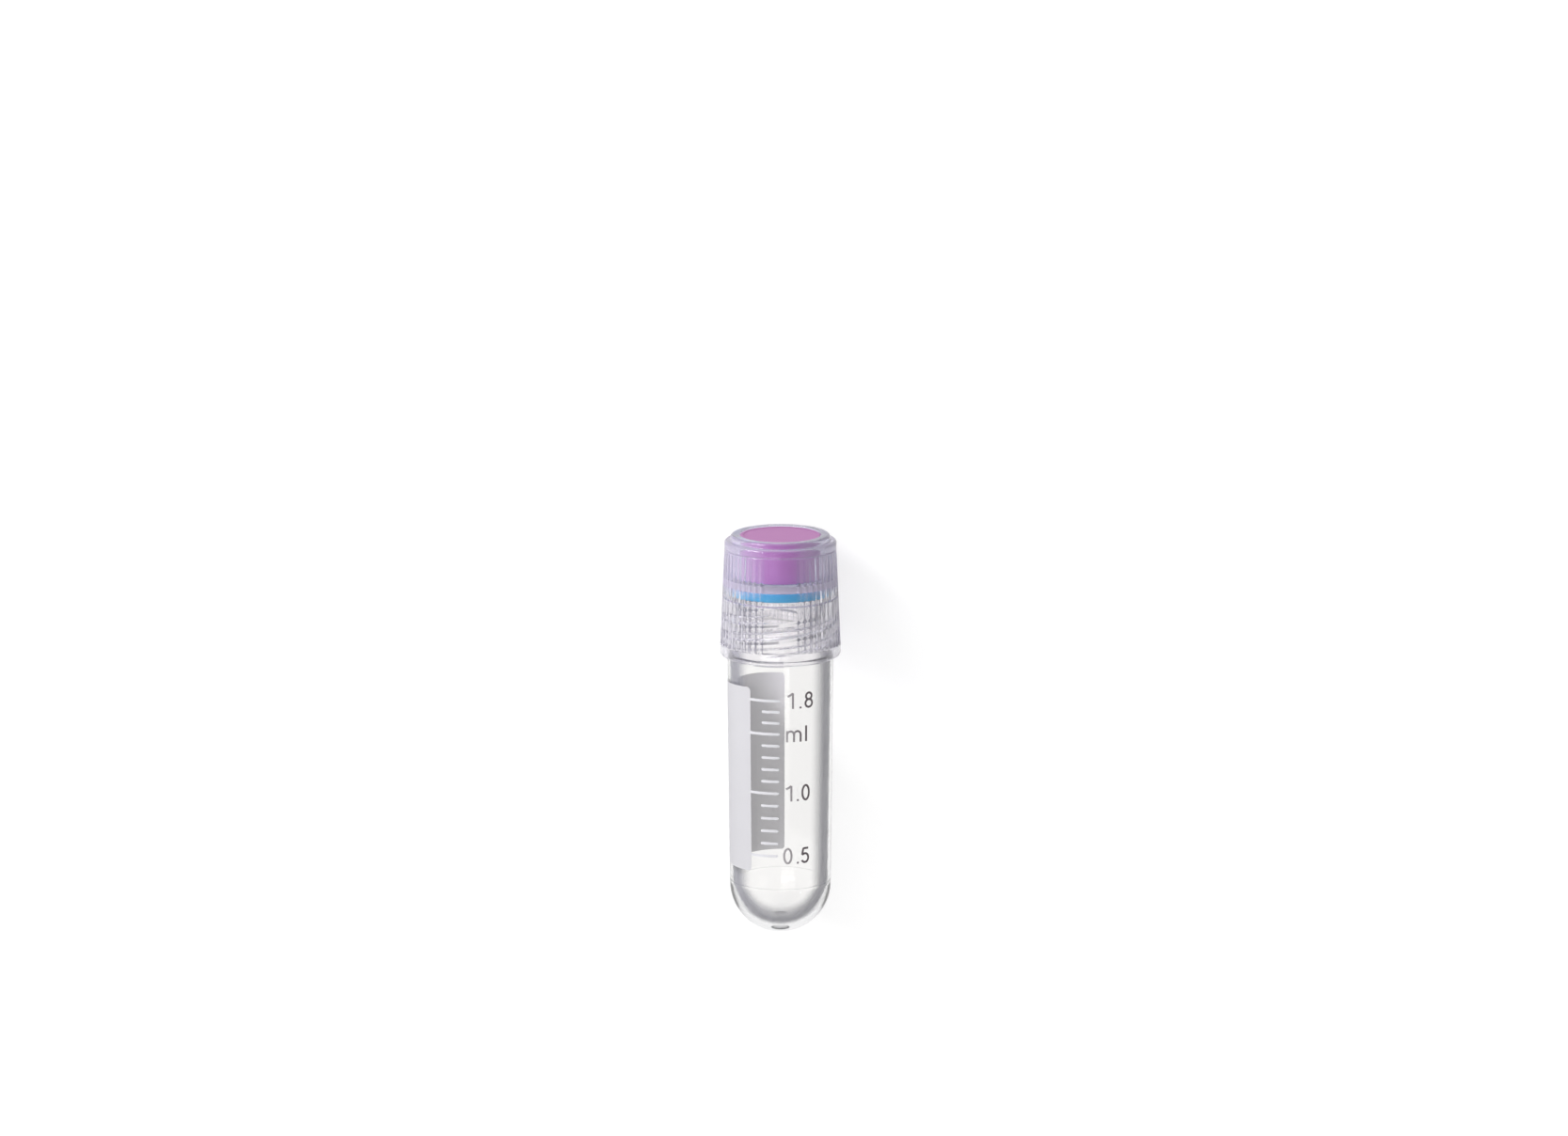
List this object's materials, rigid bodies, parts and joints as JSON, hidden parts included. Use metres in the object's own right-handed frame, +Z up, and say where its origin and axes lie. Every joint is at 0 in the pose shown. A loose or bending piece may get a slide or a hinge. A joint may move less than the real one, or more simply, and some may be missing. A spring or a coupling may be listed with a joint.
{
  "type": "cryogenic storage vial",
  "caption": "Small round-bottomed clear sample vial with a ribbed translucent screw cap, a coloured insert in the cap and a sealing ring, lying closed on its side.",
  "frame": {"origin": "on the ground, under the centre of the box round the closed vial", "axes": "+Y along the vial towards the cap, seen from above, +Z up, +X to the right with the cap away from the viewer"},
  "size_m": [0.0136, 0.0456, 0.0135],
  "materials": {
    "clear_plastic": "clear, glossy moulded polypropylene",
    "cap_plastic": "translucent, glossy moulded polypropylene",
    "insert_plastic": "opaque pink-purple moulded plastic, satin",
    "silicone": "blue silicone, smooth"
  },
  "bodies": {
    "vial": {"vial_tube": "clear_plastic"},
    "seal": {"seal_ring": "silicone"},
    "cap": {"screw_cap": "cap_plastic", "colour_insert": "insert_plastic"}
  },
  "joints": [
    {"name": "cap_lift", "type": "slide", "parent": "vial", "child": "seal", "axis": [0, 0.9991, 0.0412], "range_m": [0, 0.0076]},
    {"name": "cap_turn", "type": "hinge", "parent": "seal", "child": "cap", "pos_m": [0, 0.01645, 0.00704], "axis": [0, 0.9991, 0.0412], "range_deg": [0, 720]}
  ],
  "couplings": [
    {"joint": "cap_turn", "follows": "cap_lift", "rad_per_m": 1653.5}
  ]
}
